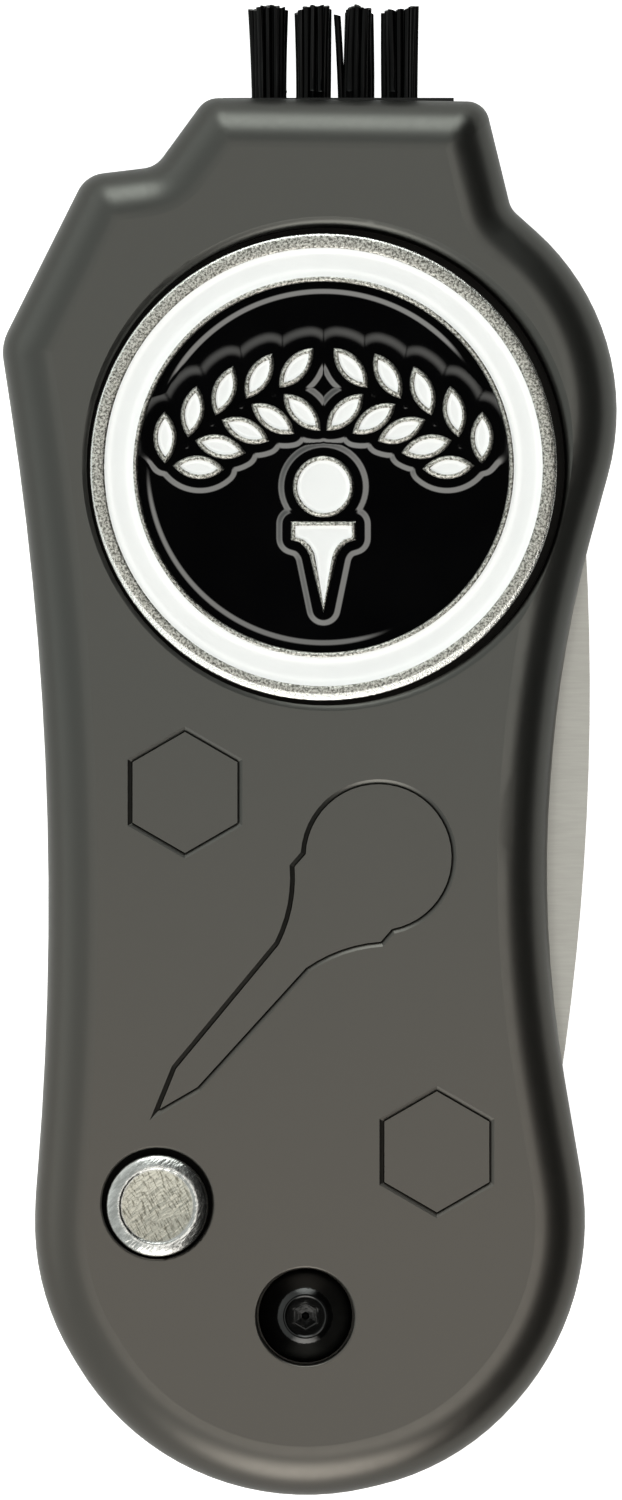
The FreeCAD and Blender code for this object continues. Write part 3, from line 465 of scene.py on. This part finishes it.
# Near its own edge it is high too, but only about two bearings. For each of them: the bearing, the cosines
# of the angle off it where the height begins and is full, and the share of the step it reaches.
EDGE_STEP = (0.28, 0.75)
HIGH_EDGES = ((95, 0.3, 0.75, 1.0), (235, 0.3, 0.8, 0.8))


def arc(half, bulge, count):
    """Points of an arc from (-half, 0) over (0, bulge), without its last point."""
    radius = (half ** 2 + bulge ** 2) / (2 * bulge)
    sweep = math.asin(half / radius)
    turns = [sweep * (2 * i / count - 1) for i in range(count)]
    return [Vector((radius * math.sin(t), radius * math.cos(t) + bulge - radius, 0)) for t in turns]


def leaf(x, y, angle, grow):
    side = arc(LEAF_HALF + POINTED * grow, LEAF_BULGE + grow, 12)
    ahead_x = math.cos(math.radians(angle))
    ahead_y = math.sin(math.radians(angle))
    points = side + [-p for p in side]
    return [(x + p.x * ahead_x - p.y * ahead_y, y + p.x * ahead_y + p.y * ahead_x) for p in points]


def ball(grow):
    radius = BALL_RADIUS + grow
    turns = [2 * math.pi * k / 48 for k in range(48)]
    return [(radius * math.cos(t), radius * math.sin(t) + BALL_LEVEL) for t in turns]


def tee(grow):
    cup = TEE_TOP + grow
    wide = TEE_HALF + grow
    rim = cup - TEE_RIM - POINTED * grow
    waist = STEM_HALF + grow
    half = [(wide, cup), (wide, rim)] + [(waist + out, rim - down) for out, down in TEE_NECK]
    return half + [(0, TEE_POINT - POINTED * grow)] + [(-x, y) for x, y in reversed(half)]


def emblem(grow):
    """Laurel of leaf pairs over a ball on a tee, every outline widened by grow."""
    shapes = []
    for side in (-1, 1):
        for i in range(LEAF_PAIRS):
            turn = LEAF_FIRST + LEAF_STEP * i
            heading = 180 - turn if side > 0 else turn
            for radius, tilt in LEAF_ROWS:
                x = side * radius * math.sin(math.radians(turn))
                y = radius * math.cos(math.radians(turn)) - LAUREL_DROP
                shapes.append(leaf(x, y, heading + side * tilt, grow))
    return shapes + [ball(grow), tee(grow)]


def stacked(steps):
    """For each emblem shape, its outline at every (grow, height) step."""
    outlines = [emblem(grow) for grow, height in steps]
    for k in range(len(outlines[0])):
        yield [[(x, y, height) for x, y in outlines[i][k]] for i, (grow, height) in enumerate(steps)]


def signed_distance(points, shapes):
    """Distance of points to the nearest shape, negative inside it."""
    nearest = np.full(len(points), np.inf)
    for shape in shapes:
        corners = np.array(shape)
        away = np.full(len(points), np.inf)
        inside = np.zeros(len(points), bool)
        for start, end in zip(corners, np.roll(corners, -1, axis=0)):
            span = end - start
            along = np.clip(((points - start) @ span) / (span @ span), 0, 1)
            away = np.minimum(away, np.hypot(*(points - start - along[:, None] * span).T))
            crosses = (start[1] > points[:, 1]) != (end[1] > points[:, 1])
            if not crosses.any():
                continue
            where = start[0] + (points[:, 1] - start[1]) * span[0] / span[1]
            inside ^= crosses & (points[:, 0] < where)
        nearest = np.minimum(nearest, np.where(inside, -away, away))
    return nearest


def smooth(value, low, high):
    """Smooth step from 0 at low to 1 at high."""
    t = np.clip((value - low) / (high - low), 0, 1)
    return t * t * (3 - 2 * t)


def disc_grid(cells, radius):
    """Corners of a square grid of cells that is bent to fill a disc, row by row."""
    steps = np.linspace(-1, 1, cells + 1)
    down, across = np.meshgrid(steps, steps, indexing="ij")
    wide = np.abs(down) > np.abs(across)
    longer = np.where(wide, down, across)
    ratio = np.where(wide, across, down) / np.where(longer == 0, 1, longer)
    turn = np.where(wide, ratio, 2 - ratio) * math.pi / 4
    return (longer * np.cos(turn) * radius).ravel(), (longer * np.sin(turn) * radius).ravel()


def enamel_height(x, y):
    """Level of the dark enamel; under the metal of the emblem it lies at the foot of that metal."""
    away = signed_distance(np.column_stack((x, y)), emblem(METAL_CREST))
    above = smooth(np.hypot(x, y + LAUREL_DROP), *LAUREL_TOP)
    by_emblem = 1 - smooth(away, EMBLEM_STEP[0], EMBLEM_STEP[1] + SPREAD_ABOVE * above)
    bearing = np.arctan2(y, x)
    high = np.zeros(len(x))
    for heading, begins, full, share in HIGH_EDGES:
        off = np.cos(bearing - math.radians(heading))
        high = np.maximum(high, share * smooth(off, begins, full))
    by_edge = high * (1 - smooth(FIELD_RADIUS - np.hypot(x, y), *EDGE_STEP))
    return np.where(away < 0, METAL_FOOT, FIELD_LOW + FIELD_STEP * np.maximum(by_emblem, by_edge))


def enamel_field(centre):
    """Dark enamel that stands higher round the emblem and along its upper and lower left edge."""
    cells = FIELD_DETAIL
    row = cells + 1
    x, y = disc_grid(cells, FIELD_RADIUS)
    verts = [centre + Vector(p) * MM for p in zip(x, y, enamel_height(x, y))]
    faces = []
    for i in range(cells):
        for j in range(cells):
            k = i * row + j
            faces.append((k, k + 1, k + row + 1, k + row))
    rim = [i * row for i in range(cells)] + [cells * row + j for j in range(cells)]
    rim += [i * row + cells for i in range(cells, 0, -1)] + [j for j in range(cells, 0, -1)]
    base = len(verts)
    for k in rim:
        verts.append(Vector((verts[k].x, verts[k].y, centre.z + METAL_FOOT * MM)))
    for i in range(len(rim)):
        j = (i + 1) % len(rim)
        faces.append((rim[i], rim[j], base + j, base + i))
    faces.append(tuple(base + i for i in range(len(rim))))
    replaced = ["marker_dark_field"]
    mesh_object("marker_black_enamel", verts, faces, "dark_enamel", "marker", replaced, sharp=60)


def ball_marker():
    centre, foot = top_and_foot("marker_coin")
    side = COIN_FACE[0][0]
    across, up = COIN_BACK_CHAMFER
    back = [(0, foot), (side - across, foot), (side, foot + up)]
    verts, faces = [], []
    lathe(back + COIN_FACE, centre, verts, faces, COIN_AROUND)
    for loops in stacked(EDGE):
        bridge(loops, centre, verts, faces)
    mesh_object("marker_metal", verts, faces, "nickel", "marker", ["marker_coin"])
    verts, faces = [], []
    lathe(RING_FACE, centre, verts, faces, COIN_AROUND)
    mesh_object("marker_enamel_ring", verts, faces, "white_enamel", "marker", ["marker_white_ring"])
    verts, faces = [], []
    for loops in stacked(FILL):
        bridge(loops, centre, verts, faces, closed=False)
    mesh_object("marker_emblem_enamel", verts, faces, "white_enamel", "marker", ["marker_emblem_fill"])
    enamel_field(centre)


# ------------------------------------------------------------------ release button

# Radii and heights in millimetres about the middle of the cap's top. The cap's face runs from its side
# over a thin bead to its middle.
STEM_RADIUS = 1.0
CAP_FOOT = -2.2
CAP_CHAMFER = 0.1
CAP_FACE = [
    (2.72, -0.7), (2.72, -0.36), (2.7, -0.27), (2.64, -0.2), (2.52, -0.135), (2.36, -0.07), (2.22, -0.025),
    (2.13, 0), (2.06, 0), (2.01, -0.02), (1.96, -0.05), (1.9, -0.06), (0, -0.06),
]


def release_button():
    """Stem and cap, the cap's face set just inside a thin bead."""
    centre, foot = top_and_foot("lock_button")
    side = CAP_FACE[0][0]
    stem = [(0, foot), (STEM_RADIUS, foot), (STEM_RADIUS, CAP_FOOT)]
    chamfer = [(side - CAP_CHAMFER, CAP_FOOT), (side, CAP_FOOT + CAP_CHAMFER)]
    verts, faces = [], []
    lathe(stem + chamfer + CAP_FACE, centre, verts, faces, around=160)
    mesh_object("button_cap", verts, faces, "button_steel", "button", ["lock_button"])


# ------------------------------------------------------------------ pivot screw

# Radii and heights in millimetres about the dome's top. The head is a low dome, then a fine bead, and a
# socket whose radii are to the middles of its six flats.
SHANK_RADIUS = 1.2
HEAD_FOOT = -2.3
HEAD_CHAMFER = 0.1
# Rounded rim of the head: how far in from its side, and how far under the dome's level there.
HEAD_RIM = ((0, 0.12), (0.04, 0.03))
DOME_CURVE = 2.8
DOME_EDGE = 0.12
DOME_END = 1.2
DOME_ROWS = 12
PIVOT_AROUND = 180
PIVOT_BEAD = [
    (1.18, -0.28), (1.14, -0.23), (1.1, -0.22), (1.06, -0.24), (1.03, -0.3), (1.0, -0.33), (0.8, -0.33),
]
PIVOT_SOCKET = [(0.64, -0.335), (0.61, -0.36), (0.6, -1.27), (0.2, -1.29), (0.1, -1.47)]


def dome(radius):
    return -radius ** 2 / (2 * DOME_CURVE)


def pivot_head():
    """Domed head with a fine bead round a six-sided socket, on its shank."""
    low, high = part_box("pivot_screw")
    centre, foot = top_and_foot("pivot_screw")
    side = (high.x - low.x) / (2 * MM)
    edge = dome(side)
    rows = [(SHANK_RADIUS, foot), (SHANK_RADIUS, HEAD_FOOT)]
    rows += [(side - HEAD_CHAMFER, HEAD_FOOT), (side, HEAD_FOOT + HEAD_CHAMFER)]
    rows += [(side - inwards, edge - down) for inwards, down in HEAD_RIM]
    begin = side - DOME_EDGE
    for i in range(DOME_ROWS):
        radius = begin - (begin - DOME_END) * i / (DOME_ROWS - 1)
        rows.append((radius, dome(radius)))
    turns = [2 * math.pi * k / PIVOT_AROUND for k in range(PIVOT_AROUND)]
    loops = []
    for radius, height in rows + PIVOT_BEAD:
        loops.append([(radius * math.cos(t), radius * math.sin(t), height) for t in turns])
    for flat, height in PIVOT_SOCKET:
        loop = []
        for t in turns:
            radius = flat / math.cos((t + math.pi / 6) % (math.pi / 3) - math.pi / 6)
            loop.append((radius * math.cos(t), radius * math.sin(t), height))
        loops.append(loop)
    verts, faces = [], []
    bridge(loops, centre, verts, faces, closed=False)
    mesh_object("pivot_head", verts, faces, "black_steel", "handle", ["pivot_screw"])


# ------------------------------------------------------------------ brush

# How far the strip ends under the top of brush_block, so that it shows over the sloping edge of the handle
# at one end only.
HOLDER_DROP = 0.08 * MM


def holder():
    """Strip that holds the tufts."""
    low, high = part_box("brush_block")
    top = high.y - HOLDER_DROP
    verts = [Vector((x, y, z)) for x in (low.x, high.x) for y in (low.y, top) for z in (low.z, high.z)]
    faces = [(0, 1, 3, 2), (4, 6, 7, 5), (0, 4, 5, 1), (2, 3, 7, 6), (0, 2, 6, 4), (1, 5, 7, 3)]
    mesh_object("brush_holder", verts, faces, "black_plastic", "handle", ["brush_block"])


# Sizes in millimetres. STRAND is a strand's radius and PACKING the distance between strands. Some strands
# have a small swelling: its level, half its height and how far it stands out.
STRAND = 0.19
PACKING = 0.385
BEAD_LEVEL = 35.38
BEAD_HALF = 0.07
BEAD_OUT = 0.05
# How far the feet are drawn together and the tips spread towards the front and back, as shares.
FEET_CLOSE = 0.97
TIPS_SPREAD = 1.08
# How much single strands differ: in length, in the place of the tip both ways, in bend, in the level of the
# swelling and in the slope of the cut tip. CUT_EDGE is the last short stretch, of which both ends slope.
UNEVEN_LENGTH = 0.09
UNEVEN_TIP_X = 0.06
UNEVEN_TIP_Z = 0.05
UNEVEN_BEND = 0.05
UNEVEN_BEAD = 0.03
UNEVEN_CUT = 0.35
CUT_EDGE = 0.03
# The strands at the left of one tuft stray from it: the tuft, the share of its half width they lie past,
# how far aside they stand, and how much shorter they are.
STRAY_TUFT = 2
STRAY_PAST = -0.9
STRAY_ASIDE = 0.28
STRAY_SHORT = 0.05
# Of each tuft, left to right: spread towards the tips, sideways lean, and how far the tips at its
# left, middle and right lie under the highest one.
TUFTS = [
    (1.2, -0.05, 0.24, 0.02, 0.2),
    (1.12, 0.02, 0.32, 0.06, 0.1),
    (0.9, 0.08, 0.4, 0.04, 0.36),
    (1.1, 0.0, 0.32, 0.22, 0.0),
]


def strand(points, radii, slant, verts, faces, sides=12):
    """Adds a round bristle along points in millimetres; slant tilts its cut tip."""
    first = len(verts)
    last = len(points) - 1
    for i, here in enumerate(points):
        ahead = (points[min(i + 1, last)] - points[max(i - 1, 0)]).normalized()
        side = ahead.cross(Vector((0, 0, 1))).normalized()
        up = side.cross(ahead)
        for k in range(sides):
            turn = 2 * math.pi * k / sides
            out = (side * math.cos(turn) + up * math.sin(turn)) * radii[i]
            lift = ahead * out.dot(slant) if i >= last - 1 else Vector()
            verts.append((here + out + lift) * MM)
    for i in range(last):
        for k in range(sides):
            corner = first + i * sides + k
            after = first + i * sides + (k + 1) % sides
            faces.append((corner, after, after + sides, corner + sides))
    faces.append(tuple(first + k for k in range(sides)))
    faces.append(tuple(first + last * sides + k for k in range(sides)))


def packed_places():
    """Places of a tuft's nineteen strands: one in the middle and two six-sided rings round it."""
    places = [(0, 0)]
    for ring in (1, 2):
        for k in range(6 * ring):
            corner = math.radians(60 * (k // ring))
            following = math.radians(60 * (k // ring + 1))
            share = (k % ring) / ring
            x = (1 - share) * math.cos(corner) + share * math.cos(following)
            z = (1 - share) * math.sin(corner) + share * math.sin(following)
            places.append((ring * PACKING * x, ring * PACKING * z))
    return places


def bristles(index, chance):
    """One tuft of separate strands, fanned out towards their uneven tips."""
    node = "bristle_tuft_%d" % (index + 1)
    low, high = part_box(node)
    axis = (low + high) / (2 * MM)
    foot = low.y / MM
    spread, lean, left, centre, right = TUFTS[index]
    verts, faces = [], []
    for x, z in packed_places():
        across = x / (2 * PACKING)
        side = left if across < 0 else right
        drop = centre + (side - centre) * across * across
        drop += chance.uniform(-UNEVEN_LENGTH, UNEVEN_LENGTH)
        top = high.y / MM - max(drop, 0.0)
        tip_x = x * spread + lean + chance.uniform(-UNEVEN_TIP_X, UNEVEN_TIP_X)
        tip_z = z * TIPS_SPREAD + chance.uniform(-UNEVEN_TIP_Z, UNEVEN_TIP_Z)
        if index == STRAY_TUFT and across < STRAY_PAST:
            tip_x = x - STRAY_ASIDE
            top -= STRAY_SHORT
        bend = chance.uniform(-UNEVEN_BEND, UNEVEN_BEND)
        bead = BEAD_LEVEL + chance.uniform(-UNEVEN_BEAD, UNEVEN_BEAD)
        bead_top = bead + BEAD_HALF
        levels = [foot, bead - BEAD_HALF, bead, bead_top]
        levels += [bead_top + (top - bead_top) * i / 5 for i in range(1, 6)]
        radii = [STRAND] * (len(levels) + 1)
        radii[2] = STRAND + chance.choice((0, 0, BEAD_OUT))
        points = []
        for y in levels:
            share = (y - foot) / (top - foot)
            bow = bend * math.sin(math.pi * share)
            aside = x * FEET_CLOSE + (tip_x - x) * share * share + bow
            points.append(Vector((axis.x + aside, y, axis.z + z + (tip_z - z) * share)))
        slant_x = chance.uniform(-UNEVEN_CUT, UNEVEN_CUT)
        slant_z = chance.uniform(-UNEVEN_CUT, UNEVEN_CUT)
        slant = Vector((slant_x, 0, slant_z))
        points.append(points[-1] + (points[-1] - points[-2]).normalized() * CUT_EDGE)
        strand(points, radii, slant, verts, faces)
    mesh_object("bristles_%d" % (index + 1), verts, faces, "nylon", "handle", [node], sharp=50)


ball_marker()
release_button()
pivot_head()
holder()
draws = random.Random(7)
for number in range(4):
    bristles(number, draws)


# ------------------------------------------------------------------ stage, light and camera

FLOOR_HALF = 3.0
FLOOR_GAP = 0.2 * MM
FLOOR_GLOW = 0.86


def floor():
    """Pale floor: seen almost white, but lighting the tool no more than a matte surface does."""
    mesh = bpy.data.meshes.new("floor")
    corners = [(-1, -1), (1, -1), (1, 1), (-1, 1)]
    mesh.from_pydata([(x * FLOOR_HALF, y * FLOOR_HALF, 0) for x, y in corners], [], [(0, 1, 2, 3)])
    obj = bpy.data.objects.new("floor", mesh)
    obj.location = (0, 0, -FLOOR_GAP)
    bpy.context.scene.collection.objects.link(obj)
    p = Paint("floor_paint", (0.5, 0.5, 0.5), roughness=0.9)
    p.tint(p.ranged(p.noise(3, 2, 0.5), 0, 1), (0.77, 0.77, 0.77), (0.78, 0.78, 0.78))
    p.set("Emission Color", (1, 1, 1, 1))
    seen_by_camera = p.node("ShaderNodeLightPath").outputs["Is Camera Ray"]
    p.link(p.ranged(seen_by_camera, 0, FLOOR_GLOW, 0, 1), p.shader.inputs["Emission Strength"])
    obj.data.materials.append(p.material)


BACKDROP = 1.0
WARM = (1.0, 0.975, 0.92)
COOL = (0.95, 1.0, 0.965)
# Round patches of the sky that shine: bearing and height of the middle, angles from it to where the patch
# is full and where it has faded out, brightness and colour.
LIGHTS = [
    (180, 20, 56, 100, 0.8, COOL),
    (155, -12, 15, 62, 0.65, COOL),
    (315, 79, 11, 28, 2.22, WARM),
    (90, 23, 6, 28, 4.6, COOL),
    (270, 26, 7, 30, 4.4, WARM),
]
# Round patches that are darkened again, in the same terms; last the share of light that is kept.
SHADES = [
    (0, 90, 5, 10, 0.0),
    (0, 25, 35, 49, 0.0),
]


def towards(azimuth, elevation):
    """Direction from its bearing (0 is the tool's right, 90 its brush end) and its height."""
    bearing = math.radians(azimuth)
    height = math.radians(elevation)
    level = math.cos(height)
    return Vector((math.cos(bearing) * level, math.sin(bearing) * level, math.sin(height)))


def world():
    """Dark studio with soft patches of light: a warm one overhead, the others low round the tool."""
    studio = bpy.data.worlds.new("studio")
    bpy.context.scene.world = studio
    studio.use_nodes = True
    tree = studio.node_tree
    seen = tree.nodes.new("ShaderNodeTexCoord").outputs["Generated"]

    def patch(azimuth, elevation, inner, outer, low, high):
        dot = tree.nodes.new("ShaderNodeVectorMath")
        dot.operation = "DOT_PRODUCT"
        tree.links.new(seen, dot.inputs[0])
        dot.inputs[1].default_value = towards(azimuth, elevation)
        fade = tree.nodes.new("ShaderNodeMapRange")
        fade.interpolation_type = "SMOOTHSTEP"
        fade.inputs["From Min"].default_value = math.cos(math.radians(outer))
        fade.inputs["From Max"].default_value = math.cos(math.radians(inner))
        fade.inputs["To Min"].default_value = low
        fade.inputs["To Max"].default_value = high
        tree.links.new(dot.outputs["Value"], fade.inputs["Value"])
        return fade.outputs["Result"]

    def combine(operation, a, b):
        item = tree.nodes.new("ShaderNodeVectorMath")
        item.operation = operation
        for socket, value in zip(item.inputs, (a, b)):
            if isinstance(value, tuple):
                socket.default_value = value
            else:
                tree.links.new(value, socket)
        return item.outputs[0]

    light = None
    for azimuth, elevation, inner, outer, level, colour in LIGHTS:
        glow = combine("MULTIPLY", patch(azimuth, elevation, inner, outer, 0.0, level), colour)
        light = combine("ADD", light, glow) if light else glow
    for azimuth, elevation, inner, outer, keep in SHADES:
        light = combine("MULTIPLY", light, patch(azimuth, elevation, inner, outer, 1.0, keep))
    seen_by_camera = tree.nodes.new("ShaderNodeLightPath").outputs["Is Camera Ray"]
    choose = tree.nodes.new("ShaderNodeMix")
    choose.data_type = "RGBA"
    choose.inputs["B"].default_value = (BACKDROP, BACKDROP, BACKDROP, 1)
    tree.links.new(seen_by_camera, choose.inputs["Factor"])
    tree.links.new(light, choose.inputs["A"])
    tree.links.new(choose.outputs["Result"], tree.nodes["Background"].inputs["Color"])


# The camera looks straight down at the handle. Lens and sensor are in millimetres, and the picture's taller
# side covers VIEW_LENGTH at the level of the front face.
LENS = 400
SENSOR = 36
VIEW_LENGTH = 80.21 * MM
VIEW_MIDDLE = (0.08 * MM, -0.03 * MM)
FACE_LEVEL = 11 * MM


def camera():
    data = bpy.data.cameras.new("camera")
    data.lens = LENS
    data.sensor_width = SENSOR
    data.clip_start = 0.01
    obj = bpy.data.objects.new("camera", data)
    obj.location = (*VIEW_MIDDLE, FACE_LEVEL + LENS * VIEW_LENGTH / SENSOR)
    bpy.context.scene.collection.objects.link(obj)
    bpy.context.scene.camera = obj


floor()
world()
camera()
bpy.context.scene.view_settings.view_transform = "Standard"
